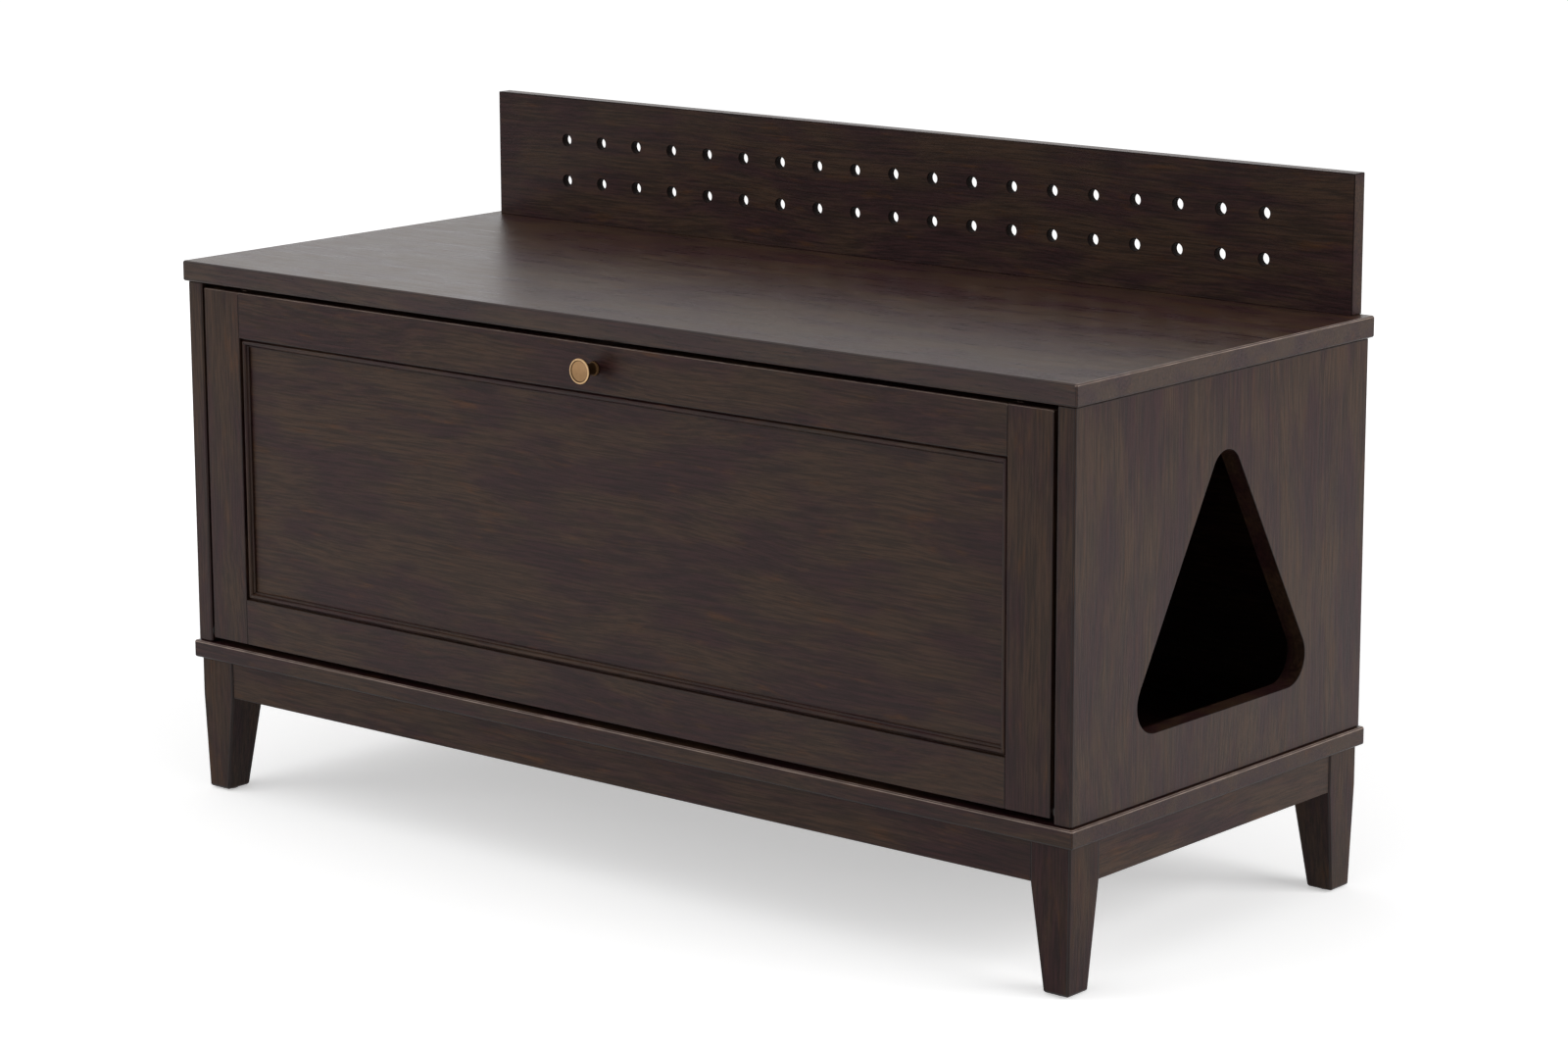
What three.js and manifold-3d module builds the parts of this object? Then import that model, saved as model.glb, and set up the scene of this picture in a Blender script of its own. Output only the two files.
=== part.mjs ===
// Cat litter box cabinet: a low bench on four tapered legs. Its wide front door drops forward on two
// pivot pins and is held level by a slotted stay, the right side has a triangular entry for the cat,
// and a perforated gallery board stands along the back of the top.
// Millimetres. +X is the right-hand side seen from the front, +Y runs from front to back, +Z is up.
// The floor is z = 0, and the x and y origin is the middle of the cabinet's outline.
import * as THREE from "three";
import { mergeVertices } from "three/addons/utils/BufferGeometryUtils.js";
import Module from "manifold-3d";

const wasm = await Module();
wasm.setup();

// ---------------------------------------------------------------- driving dimensions

// Clearances
const fitGap = 0.3; // between a piece and the hole, groove or neighbour that it sits in
const ease = 1.5; // flat broken on the edges of every board

// Case: top, two sides, base panel and back
const topWidth = 1200;
const topDepth = 500;
const topThick = 22;
const reveal = 4; // how far the top and the base panel stand out past the case, all round
const caseHeight = 400; // between the base panel and the top
const sideThick = 21;
const baseThick = 19;
const backThick = 6;
const backInset = 2; // back panel behind the sides' rear edges
const rebateDepth = 8; // how far the back panel's edge is let into each side

// Cat entry in the right side: an isosceles triangle with rounded corners
const entrySill = 66; // lower edge above the base panel
const entryHeight = 281; // lower edge to the sharp apex, before rounding
const entryHalfWidth = 165; // at the lower edge, before rounding
const entryCornerRadius = 30;
const entryApexRadius = 24;

// Gallery board on the back of the top
const galleryEndInset = 16; // from the ends of the top
const galleryHeight = 142;
const galleryThick = 18;
const holeCount = 19; // in each of the two rows
const holePitch = 53.1;
const holeRadius = 6.25;
const lowerRowHeight = 47; // hole centres above the top
const rowSpacing = 46.5;
const holeWeb = 9.5; // board left at the holes by the pocket behind them
const pocketMargin = 16; // from the outer hole centres to the pocket's edge
const galleryScrewInset = 104; // from the ends of the gallery
const galleryScrewLength = 46;
const galleryScrewRadius = 2.5;
const galleryScrewHeadRadius = 4.5;
const galleryScrewHeadHeight = 4;

// Base: four legs, four aprons, four corner blocks, four glides
const legHeight = 150; // underside of the base panel above the floor
const legSize = 47;
const legInset = 2; // leg faces behind the case's faces
const legOuterTaper = 3; // how far each outer face leans in, from the aprons down to the foot
const footWidth = 30;
const footDepth = 32;
const footChamfer = 2;
const apronHeight = 41;
const apronThick = 20;
const apronInset = 1.5; // apron faces behind the leg faces
const cornerBlockReach = 52; // along each apron, past the leg
const cornerBlockHeight = 34;
const glideThick = 2;
const glideRadius = 10;
const glidePinRadius = 1.6;
const glidePinLength = 14;

// Screws that hold the sides to the base panel, and the cleats under the top
const caseScrewRadius = 3;
const caseScrewLength = 50;
const caseScrewHeadRadius = 4.8;
const caseScrewHeadHeight = 4;
const caseScrewInset = 70; // from the case's front and rear
const cleatSize = 20;
const cleatFrontInset = 45; // from the case's front
const cleatRearInset = 37; // from its rear

// Door: two stiles, two rails, a panel in their grooves and a mitred bead round the panel
const doorThick = 20;
const doorSideGap = 4;
const doorTopGap = 5.5;
const doorBottomGap = 6;
const stileWidth = 53;
const railWidth = 50;
const panelRecess = 7.5; // panel's face behind the frame's face
const panelThick = 6;
const grooveDepth = 8;
const panelEdgePlay = 0.6; // left between the panel's edge and the bottom of the groove
const beadWidth = 9;
const beadSetBack = 1.6; // bead's crown behind the frame's face
const beadMitreGap = 0.15; // each end of a bead stops this far short of the mitre line
const frameEase = 0.7; // flat broken on the door frame's edges

// Knob in the middle of the top rail
const knobReach = 22.5; // door's face to the knob's face
const knobRadius = 13;
const knobRimWidth = 1.9;
const knobFaceDish = 0.8;
const knobDiscThick = 3.2;
const knobNeckRadius = 5.8;
const knobFootRadius = 7.5;
const knobFootThick = 1.8;
const knobBoreDepth = 14;
const knobScrewRadius = 2;
const knobScrewHeadRadius = 4.2;
const knobScrewHeadHeight = 2.4;

// Pivot pins at the door's lower corners, in flanged bushes let into the sides
const pivotBack = 8.5; // pivot axis behind the door's face
const pivotRise = 12.5; // pivot axis above the base panel
const pivotPinRadius = 2.5;
const runningPlay = 0.06; // on the radius of each pin that turns in a hole
const pivotPinInDoor = 20;
const pivotPinInSide = 9;
const bushRadius = 5;
const bushLength = 11;
const bushFlangeRadius = 7;
const bushFlangeThick = 1;

// Slotted stay on the left: its arm turns on the door and slides over a stud in the side
const stayRadius = 150; // pivot axis to both the arm's rivet and the stud
const stayRivetBack = 20.5; // rivet behind the pivot axis, door shut
const stayStudBack = 60; // stud behind the pivot axis
const doorOpenAngle = 90; // degrees
const stayArmWidth = 14;
const stayArmThick = 2;
const stayArmStandOff = 12; // side panel's inner face to the arm
const stayBracketThick = 2;
const stayBracketWidth = 24; // across the stile
const stayBracketHeight = 34; // along the stile
const stayBracketScrewOffset = 15; // from the ear's outer face
const stayBracketScrewSpacing = 20;
const stayEarReach = 6.5; // bracket's ear past the rivet's centre
const stayEarCorner = 2.5; // cut off its two corners
const stayBracketRoot = 1; // bracket's plate at the foot of the ear
const stayRivetRadius = 2.5;
const stayRivetHeadRadius = 4.5;
const stayRivetHeadThick = 1.4;
const stayStudRadius = 2.8;
const stayStudShoulderRadius = 5;
const stayStudFlangeRadius = 9;
const stayStudFlangeThick = 2;
const stayStudHeadRadius = 6;
const stayStudHeadThick = 2.5;
const stayStudShankRadius = 2.2;
const stayStudShankLength = 14;
const staySlotEndPlay = 1; // free slot past the stud at each end of its travel

// Small screws of the stay bracket, the strike plate and the magnetic catch
const smallScrewRadius = 1.6;
const smallScrewLength = 13;
const smallScrewHeadRadius = 3.2;
const smallScrewHeadHeight = 1.6;

// Magnetic catch under the top, and its strike plate on the door
const catchLength = 46;
const catchDepth = 14;
const catchHeight = 21;
const catchBodyLength = 30; // between the two screw ears
const catchEarHeight = 4;
const catchEarDepth = 10;
const catchScrewLength = 15;
const catchScrewSpacing = 38;
const magnetLength = 22;
const magnetHeight = 8;
const magnetNose = 1; // magnet in front of the catch's body
const magnetSocketDepth = 8;
const strikeWidth = 38;
const strikeHeight = 12;
const strikeThick = 1.5;
const strikeBelowDoorTop = 2;
const strikeScrewSpacing = 29;

// ---------------------------------------------------------------- places worked out from them

const caseWidth = topWidth - 2 * reveal;
const caseDepth = topDepth - 2 * reveal;
const sideOuter = caseWidth / 2;
const sideInner = sideOuter - sideThick;

const baseBottom = legHeight;
const baseTop = baseBottom + baseThick;
const topBottom = baseTop + caseHeight;
const topTop = topBottom + topThick;

// y = 0 is the case's front plane while the pieces are placed
const topFront = -reveal;
const topBack = topDepth - reveal;
const caseBack = caseDepth;
const backPanelFront = caseBack - backInset - backThick;

const galleryHalf = topWidth / 2 - galleryEndInset;
const galleryFront = topBack - galleryThick;
const galleryScrewY = topBack - galleryThick / 2;

const legOuterX = sideOuter - legInset;
const legInnerX = legOuterX - legSize;
const legFront = legInset;
const legBack = caseBack - legInset;
const apronTopZ = baseBottom;
const apronBottomZ = apronTopZ - apronHeight;
const frontApronFace = legFront + apronInset;
const rearApronFace = legBack - apronInset;
const sideApronFace = legOuterX - apronInset;

const doorWidth = 2 * (sideInner - doorSideGap);
const doorBottomZ = baseTop + doorBottomGap;
const doorTopZ = topBottom - doorTopGap;
const doorHeight = doorTopZ - doorBottomZ;
const doorHalf = doorWidth / 2;
const sightWidth = doorWidth - 2 * stileWidth; // between the stiles
const sightHeight = doorHeight - 2 * railWidth; // between the rails
const sightBottomZ = doorBottomZ + railWidth;
const sightTopZ = doorTopZ - railWidth;

const knobZ = doorTopZ - railWidth / 2;
const pivotY = pivotBack;
const pivotZ = baseTop + pivotRise;

// Rivet and stud are at one radius from the pivot axis, so the chord between them, which the arm
// follows, turns by exactly half the door's angle.
const rivetY = pivotY + stayRivetBack;
const rivetZ = pivotZ + Math.sqrt(stayRadius ** 2 - stayRivetBack ** 2);
const studY = pivotY + stayStudBack;
const studZ = pivotZ + Math.sqrt(stayRadius ** 2 - stayStudBack ** 2);
const shutSpread = Math.asin(stayStudBack / stayRadius) - Math.asin(stayRivetBack / stayRadius);
const openSpread = shutSpread + THREE.MathUtils.degToRad(doorOpenAngle);
const slotNear = 2 * stayRadius * Math.sin(shutSpread / 2);
const slotFar = 2 * stayRadius * Math.sin(openSpread / 2);
const armTilt = Math.atan2(studZ - rivetZ, studY - rivetY);
const armOuterX = -sideInner + stayArmStandOff; // the arm's face towards the side panel
const armInnerX = armOuterX + stayArmThick;
const earOuterX = armInnerX + fitGap;
const earInnerX = earOuterX + stayBracketThick;

const strikeTopZ = doorTopZ - strikeBelowDoorTop;
const strikeFaceY = doorThick + strikeThick;
const magnetFaceY = strikeFaceY + fitGap;
const catchFrontY = magnetFaceY + magnetNose;

// ---------------------------------------------------------------- materials

const darkWood = { color: 0x33261f, roughness: 0.42, metalness: 0 };
const brassFinish = { color: 0xa88357, roughness: 0.32, metalness: 1 };
const steelFinish = { color: 0xb9babb, roughness: 0.35, metalness: 1 };
const zincFinish = { color: 0x9a9b9c, roughness: 0.45, metalness: 1 };
const magnetFinish = { color: 0x2b2b2d, roughness: 0.5, metalness: 1 };
const nylonFinish = { color: 0x2a2320, roughness: 0.6, metalness: 0 };
const backingBoard = { color: 0x2e2320, roughness: 0.7, metalness: 0 };

// ---------------------------------------------------------------- making shapes

// A closed geometry as a solid that can be cut and joined.
function solidOf(geometry) {
  const bare = geometry.index ? geometry.toNonIndexed() : geometry.clone();
  bare.deleteAttribute("normal");
  bare.deleteAttribute("uv");
  const merged = mergeVertices(bare, 1e-4);
  const mesh = new wasm.Mesh({
    numProp: 3,
    vertProperties: merged.attributes.position.array,
    triVerts: new Uint32Array(merged.index.array),
  });
  return new wasm.Manifold(mesh);
}

function geometryOf(solid) {
  const mesh = solid.getMesh();
  const positions = new THREE.BufferAttribute(new Float32Array(mesh.vertProperties), 3);
  const geometry = new THREE.BufferGeometry().setAttribute("position", positions);
  geometry.setIndex(new THREE.BufferAttribute(new Uint32Array(mesh.triVerts), 1));
  const flat = geometry.toNonIndexed();
  flat.computeVertexNormals();
  return flat;
}

function cut(geometry, ...tools) {
  const rest = tools.reduce((solid, tool) => solid.subtract(solidOf(tool)), solidOf(geometry));
  return geometryOf(rest);
}

function join(first, ...others) {
  const whole = others.reduce((solid, other) => solid.add(solidOf(other)), solidOf(first));
  return geometryOf(whole);
}

// A plain box between two corners.
function block(x0, x1, y0, y1, z0, z1) {
  const box = new THREE.BoxGeometry(x1 - x0, y1 - y0, z1 - z0);
  return box.translate((x0 + x1) / 2, (y0 + y1) / 2, (z0 + z1) / 2);
}

// A rectangle whose four corners are cut off.
function cutCornerShape(x0, x1, y0, y1, corner) {
  const shape = new THREE.Shape();
  shape.moveTo(x0 + corner, y0).lineTo(x1 - corner, y0).lineTo(x1, y0 + corner);
  shape.lineTo(x1, y1 - corner).lineTo(x1 - corner, y1).lineTo(x0 + corner, y1);
  shape.lineTo(x0, y1 - corner).lineTo(x0, y0 + corner).closePath();
  return shape;
}

// A board between two corners, with every edge broken.
function board(x0, x1, y0, y1, z0, z1, broken = ease) {
  const outline = cutCornerShape(x0, x1, y0, y1, broken);
  return bar(outline, z1 - z0, broken).translate(0, 0, z0);
}

// A shape extruded along +Z from z = 0, with both end faces' edges broken.
function bar(shape, length, broken = 0, curveSegments = 12) {
  const geometry = new THREE.ExtrudeGeometry(shape, {
    depth: length - 2 * broken,
    bevelEnabled: broken > 0,
    bevelThickness: broken,
    bevelSize: broken,
    bevelOffset: -broken,
    bevelSegments: 1,
    curveSegments,
  });
  return geometry.translate(0, 0, broken);
}

function polygon(points) {
  return new THREE.Shape(points.map(([x, y]) => new THREE.Vector2(x, y)));
}

// A polygon with an arc of its own radius at each corner.
function roundedPolygon(corners) {
  const shape = new THREE.Shape();
  corners.forEach(({ at, radius }, i) => {
    const before = corners.at(i - 1).at;
    const after = corners[(i + 1) % corners.length].at;
    const toBefore = before.clone().sub(at).normalize();
    const toAfter = after.clone().sub(at).normalize();
    const halfAngle = Math.acos(toBefore.dot(toAfter)) / 2;
    const bisector = toBefore.clone().add(toAfter).normalize();
    const centre = at.clone().addScaledVector(bisector, radius / Math.sin(halfAngle));
    const start = at.clone().addScaledVector(toBefore, radius / Math.tan(halfAngle)).sub(centre);
    const end = at.clone().addScaledVector(toAfter, radius / Math.tan(halfAngle)).sub(centre);
    shape.absarc(centre.x, centre.y, radius, start.angle(), end.angle(), false);
  });
  return shape;
}

// A round rod from one x to another, at a height and depth.
function rodX(x0, x1, y, z, radius, sides = 20) {
  const rod = new THREE.CylinderGeometry(radius, radius, x1 - x0, sides);
  return rod.rotateZ(Math.PI / 2).translate((x0 + x1) / 2, y, z);
}

function rodY(y0, y1, x, z, radius, sides = 20) {
  const rod = new THREE.CylinderGeometry(radius, radius, y1 - y0, sides);
  return rod.translate(x, (y0 + y1) / 2, z);
}

function rodZ(z0, z1, x, y, radius, sides = 20) {
  const rod = new THREE.CylinderGeometry(radius, radius, z1 - z0, sides);
  return rod.rotateX(Math.PI / 2).translate(x, y, (z0 + z1) / 2);
}

// A turned piece about the Y axis: its profile runs from the axis, round, and back to the axis.
function turned(profile, sides = 28) {
  return new THREE.LatheGeometry(profile.map(([r, y]) => new THREE.Vector2(r, y)), sides);
}

// A countersunk screw along +Y: its head's flat face is at y = 0 and its tip at y = length.
function countersunkScrew({ length, radius, headRadius, headHeight }) {
  return turned([[0, 0], [headRadius, 0], [headRadius, 0.3], [radius, headHeight],
    [radius, length - 2 * radius], [0.3 * radius, length], [0, length]], 16);
}

// The hole for that screw, a clearance larger all round and open past its head.
function countersunkHole({ length, radius, headRadius, headHeight }) {
  const r = radius + fitGap;
  const head = headRadius + fitGap;
  return turned([[0, -2], [head, -2], [head, 0.3 + fitGap / 2], [r, headHeight + fitGap / 2],
    [r, length + fitGap], [0, length + fitGap]], 16);
}

const galleryScrew = {
  length: galleryScrewLength,
  radius: galleryScrewRadius,
  headRadius: galleryScrewHeadRadius,
  headHeight: galleryScrewHeadHeight,
};
const caseScrew = {
  length: caseScrewLength,
  radius: caseScrewRadius,
  headRadius: caseScrewHeadRadius,
  headHeight: caseScrewHeadHeight,
};
const smallScrew = {
  length: smallScrewLength,
  radius: smallScrewRadius,
  headRadius: smallScrewHeadRadius,
  headHeight: smallScrewHeadHeight,
};
const catchScrew = { ...smallScrew, length: catchScrewLength };

// Turns a shape that runs along +Y so that it runs upwards, and places its start.
const upwards = (geometry, x, y, z) => geometry.rotateX(Math.PI / 2).translate(x, y, z);
// Turns it so that it runs towards the front.
const forwards = (geometry, x, y, z) => geometry.rotateX(Math.PI).translate(x, y, z);
// Turns it so that it runs towards the left or the right.
const leftwards = (geometry, x, y, z) => geometry.rotateZ(Math.PI / 2).translate(x, y, z);
const rightwards = (geometry, x, y, z) => geometry.rotateZ(-Math.PI / 2).translate(x, y, z);

// A shape drawn in y and z, extruded from one x towards +X.
function plateX(shape, x0, thick, broken = 0, curveSegments = 12) {
  const geometry = bar(shape, thick, broken, curveSegments);
  return geometry.rotateY(Math.PI / 2).rotateX(Math.PI / 2).translate(x0, 0, 0);
}

// A shape drawn in x and z, extruded from one y towards +Y.
function plateY(shape, y0, thick, broken = 0, curveSegments = 12) {
  const geometry = bar(shape, thick, broken, curveSegments);
  return geometry.rotateX(Math.PI / 2).translate(0, y0 + thick, 0);
}

// A post through level rectangles with cut corners, each given as [z, x0, x1, y0, y1, corner].
function post(levels) {
  const loops = levels.map(([z, x0, x1, y0, y1, corner]) =>
    cutCornerShape(x0, x1, y0, y1, corner).getPoints().slice(0, 8).map((p) => [p.x, p.y, z]));
  const positions = [];
  for (let i = 0; i + 1 < loops.length; i++) {
    for (let j = 0; j < 8; j++) {
      const k = (j + 1) % 8;
      const [a, b, c, d] = [loops[i][j], loops[i][k], loops[i + 1][k], loops[i + 1][j]];
      positions.push(...a, ...b, ...c, ...a, ...c, ...d);
    }
  }
  const bottom = loops[0];
  const top = loops.at(-1);
  for (let j = 1; j < 7; j++) {
    positions.push(...bottom[0], ...bottom[j + 1], ...bottom[j]);
    positions.push(...top[0], ...top[j], ...top[j + 1]);
  }
  const geometry = new THREE.BufferGeometry();
  geometry.setAttribute("position", new THREE.Float32BufferAttribute(positions, 3));
  geometry.computeVertexNormals();
  return geometry;
}

// ---------------------------------------------------------------- the assembly

const group = new THREE.Group();
group.name = "cat_litter_box_cabinet";

function add(name, geometry, finish) {
  const mesh = new THREE.Mesh(geometry, new THREE.MeshStandardMaterial(finish));
  mesh.name = name;
  group.add(mesh);
}

const ends = [["left", -1], ["right", 1]];
const rows = [["front", 0], ["rear", 1]];

// Top, with holes for the screws of the gallery and of the catch
const galleryScrewReach = galleryHalf - galleryScrewInset;
const galleryScrewX = [["left", -galleryScrewReach], ["middle", 0], ["right", galleryScrewReach]];
const galleryScrewHoles = () => galleryScrewX.map(([, x]) =>
  upwards(countersunkHole(galleryScrew), x, galleryScrewY, topBottom));
const catchScrewX = [["left", -catchScrewSpacing / 2], ["right", catchScrewSpacing / 2]];
const catchMiddle = catchFrontY + catchDepth / 2;
const earBottom = topBottom - catchEarHeight;
const catchScrewHoles = () => catchScrewX.map(([, x]) =>
  upwards(countersunkHole(catchScrew), x, catchMiddle, earBottom));
const topHalf = topWidth / 2;
add("top_panel", cut(
  board(-topHalf, topHalf, topFront, topBack, topBottom, topTop),
  ...galleryScrewHoles(),
  ...catchScrewHoles(),
), darkWood);

// Gallery board: two rows of holes, and a long pocket behind them that leaves a thin web
const rowHeights = [lowerRowHeight, lowerRowHeight + rowSpacing].map((h) => topTop + h);
const outerHoleX = holePitch * (holeCount - 1) / 2;
const holeX = Array.from({ length: holeCount }, (_, i) => i * holePitch - outerHoleX);
const pocketHalf = outerHoleX + pocketMargin;
const pocket = [
  [-pocketHalf, rowHeights[0] - pocketMargin],
  [pocketHalf, rowHeights[0] - pocketMargin],
  [pocketHalf, rowHeights[1] + pocketMargin],
  [-pocketHalf, rowHeights[1] + pocketMargin],
].map(([x, z]) => ({ at: new THREE.Vector2(x, z), radius: pocketMargin / 2 }));
add("gallery_board", cut(
  board(-galleryHalf, galleryHalf, galleryFront, topBack, topTop, topTop + galleryHeight),
  ...rowHeights.flatMap((z) =>
    holeX.map((x) => rodY(galleryFront - 1, topBack + 1, x, z, holeRadius, 24))),
  plateY(roundedPolygon(pocket), galleryFront + holeWeb, galleryThick, 0, 5),
  ...galleryScrewHoles(),
), darkWood);
galleryScrewX.forEach(([place, x]) => {
  const screw = upwards(countersunkScrew(galleryScrew), x, galleryScrewY, topBottom);
  add("gallery_screw_" + place, screw, zincFinish);
});

// Base panel and the screws that come up through it into the sides
const sideMiddle = (sideInner + sideOuter) / 2;
const caseScrewY = [caseScrewInset, caseDepth - caseScrewInset];
const caseScrewPlaces = ends.flatMap(([end, sign]) =>
  rows.map(([row, k]) => [`${end}_${row}`, sign * sideMiddle, caseScrewY[k]]));
const caseScrewStart = baseBottom + fitGap;
add("base_panel", cut(
  board(-topHalf, topHalf, topFront, topBack, baseBottom, baseTop),
  ...caseScrewPlaces.map(([, x, y]) => upwards(countersunkHole(caseScrew), x, y, caseScrewStart)),
), darkWood);
caseScrewPlaces.forEach(([place, x, y]) => {
  add("case_screw_" + place, upwards(countersunkScrew(caseScrew), x, y, caseScrewStart), zincFinish);
});

// Sides: rebated at the rear for the back panel, bored at the front for the pivot bushes
const entryZ = baseTop + entrySill;
const entryMiddle = caseDepth / 2;
const entry = roundedPolygon([
  { at: new THREE.Vector2(entryMiddle - entryHalfWidth, entryZ), radius: entryCornerRadius },
  { at: new THREE.Vector2(entryMiddle + entryHalfWidth, entryZ), radius: entryCornerRadius },
  { at: new THREE.Vector2(entryMiddle, entryZ + entryHeight), radius: entryApexRadius },
]);
ends.forEach(([end, sign]) => {
  const [x0, x1] = [sign * sideInner, sign * sideOuter].sort((a, b) => a - b);
  const rebateX = sign * (sideInner + rebateDepth);
  const [r0, r1] = [sign * (sideInner - 1), rebateX].sort((a, b) => a - b);
  const bushX = sign * (sideInner + bushLength + fitGap);
  const [b0, b1] = [sign * (sideInner - 1), bushX].sort((a, b) => a - b);
  const tools = [
    block(r0, r1, backPanelFront, caseBack + 1, baseTop - 1, topBottom + 1),
    rodX(b0, b1, pivotY, pivotZ, bushRadius + fitGap, 24),
    ...caseScrewPlaces.filter(([place]) => place.startsWith(end))
      .map(([, x, y]) => upwards(countersunkHole(caseScrew), x, y, caseScrewStart)),
  ];
  if (end === "right") {
    tools.push(plateX(entry, sideInner - 1, sideThick + 2, 0, 8));
  } else {
    const shankEnd = -sideInner - stayStudShankLength - fitGap;
    const shankHole = stayStudShankRadius + fitGap;
    tools.push(rodX(shankEnd, -sideInner + 1, studY, studZ, shankHole, 16));
  }
  const side = board(x0, x1, 0, caseBack, baseTop, topBottom);
  add(end + "_side_panel", cut(side, ...tools), darkWood);

  // Cleat glued along the inside of the side, under the top
  const [c0, c1] = [sign * sideInner, sign * (sideInner - cleatSize)].sort((a, b) => a - b);
  const cleat = board(c0, c1, cleatFrontInset, caseDepth - cleatRearInset,
    topBottom - cleatSize, topBottom);
  add(end + "_top_cleat", cleat, darkWood);

  // Flanged bush: its bore turns on the pivot pin
  const bore = pivotPinRadius + runningPlay;
  const bush = turned([[0, pivotPinInSide + 1], [bore, pivotPinInSide + 1],
    [bore, -bushFlangeThick], [bushFlangeRadius, -bushFlangeThick], [bushFlangeRadius, 0],
    [bushRadius, 0], [bushRadius, bushLength], [0, bushLength]], 24);
  const placeBush = sign < 0 ? leftwards : rightwards;
  add(end + "_pivot_bush", placeBush(bush, sign * sideInner, pivotY, pivotZ), nylonFinish);
});

// Back panel
const backHalf = sideInner + rebateDepth - fitGap;
add("back_panel", block(-backHalf, backHalf, backPanelFront, backPanelFront + backThick,
  baseTop, topBottom), backingBoard);

// Legs: straight for the height of the aprons, then tapered on all four faces
ends.forEach(([end, sign]) => rows.forEach(([row, k]) => {
  const outerX = sign * legOuterX;
  const outerY = k ? legBack : legFront;
  const inY = k ? -1 : 1;
  const level = (z, taper, width, depth, corner) => {
    const [x0, x1] = [outerX - sign * taper, outerX - sign * (taper + width)].sort((a, b) => a - b);
    const [y0, y1] = [outerY + inY * taper, outerY + inY * (taper + depth)].sort((a, b) => a - b);
    return [z, x0, x1, y0, y1, corner];
  };
  const leg = post([
    level(glideThick, legOuterTaper + footChamfer, footWidth - 2 * footChamfer,
      footDepth - 2 * footChamfer, ease / 2),
    level(glideThick + footChamfer, legOuterTaper, footWidth, footDepth, ease),
    level(apronBottomZ, 0, legSize, legSize, ease),
    level(baseBottom, 0, legSize, legSize, ease),
  ]);
  const footX = outerX - sign * (legOuterTaper + footWidth / 2);
  const footY = outerY + inY * (legOuterTaper + footDepth / 2);
  const pinTop = glideThick + glidePinLength;
  add(`${end}_${row}_leg`, cut(leg,
    rodZ(0, pinTop + fitGap, footX, footY, glidePinRadius + fitGap, 12)), darkWood);

  // Glide: a low disc with a pin pressed into the foot
  const glide = turned([[0, 0], [glideRadius - 1, 0], [glideRadius, 0.8], [glideRadius, glideThick],
    [glidePinRadius, glideThick], [glidePinRadius, pinTop - 2], [0.4, pinTop], [0, pinTop]], 20);
  add(`${end}_${row}_glide`, upwards(glide, footX, footY, 0), nylonFinish);

  // Corner block, glued into the angle of two aprons and round the leg
  const faceX = sideApronFace - apronThick;
  const faceY = frontApronFace + apronThick;
  const outline = polygon([
    [legInnerX - cornerBlockReach, faceY],
    [legInnerX, faceY],
    [legInnerX, legFront + legSize],
    [faceX, legFront + legSize],
    [faceX, legFront + legSize + cornerBlockReach],
  ].map(([x, y]) => [sign * x, k ? caseDepth - y : y]));
  add(`${end}_${row}_corner_block`,
    bar(outline, cornerBlockHeight).translate(0, 0, baseBottom - cornerBlockHeight), darkWood);
}));

// Aprons between the legs
const longApron = (y0) =>
  board(-legInnerX, legInnerX, y0, y0 + apronThick, apronBottomZ, baseBottom, frameEase);
const shortApron = (x0) => board(x0, x0 + apronThick, legFront + legSize, legBack - legSize,
  apronBottomZ, baseBottom, frameEase);
add("front_apron", longApron(frontApronFace), darkWood);
add("rear_apron", longApron(rearApronFace - apronThick), darkWood);
add("left_apron", shortApron(-sideApronFace), darkWood);
add("right_apron", shortApron(sideApronFace - apronThick), darkWood);

// Door frame: the stiles are grooved for their whole height, and the rails' tenons and the panel's
// edges sit in those grooves
const grooveY0 = panelRecess - fitGap;
const grooveY1 = panelRecess + panelThick + fitGap;
const sightHalf = sightWidth / 2;
const grooveHalf = sightHalf + grooveDepth;
const tenonHalf = grooveHalf - panelEdgePlay;
const knobHole = rodY(-1, doorThick + 1, 0, knobZ, knobScrewRadius + fitGap, 16);
const strikeZ = strikeTopZ - strikeHeight / 2;
const strikeScrewX = [["left", -strikeScrewSpacing / 2], ["right", strikeScrewSpacing / 2]];
const strikeScrewHoles = () => strikeScrewX.map(([, x]) =>
  forwards(countersunkHole(smallScrew), x, strikeFaceY, strikeZ));
const bracketX = earOuterX + stayBracketScrewOffset;
const bracketFaceY = doorThick + stayBracketThick;
const bracketScrewZ = [["upper", rivetZ + stayBracketScrewSpacing / 2],
  ["lower", rivetZ - stayBracketScrewSpacing / 2]];
const bracketScrewHoles = () => bracketScrewZ.map(([, z]) =>
  forwards(countersunkHole(smallScrew), bracketX, bracketFaceY, z));
ends.forEach(([end, sign]) => {
  const [x0, x1] = [sign * sightHalf, sign * doorHalf].sort((a, b) => a - b);
  const [g0, g1] = [sign * (sightHalf - 1), sign * grooveHalf].sort((a, b) => a - b);
  const pinInner = doorHalf - pivotPinInDoor;
  const [p0, p1] = [sign * (pinInner - fitGap), sign * (doorHalf + 1)].sort((a, b) => a - b);
  const tools = [
    block(g0, g1, grooveY0, grooveY1, doorBottomZ - 1, doorTopZ + 1),
    rodX(p0, p1, pivotY, pivotZ, pivotPinRadius + fitGap, 24),
  ];
  if (end === "left") tools.push(...bracketScrewHoles());
  const stile = board(x0, x1, 0, doorThick, doorBottomZ, doorTopZ, frameEase);
  add(`door_${end}_stile`, cut(stile, ...tools), darkWood);

  // Pivot pin: fast in the stile, turning in the bush
  const [a, b] = [sign * pinInner, sign * (sideInner + pivotPinInSide)].sort((m, n) => m - n);
  add(end + "_pivot_pin", rodX(a, b, pivotY, pivotZ, pivotPinRadius, 24), steelFinish);
});

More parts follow.
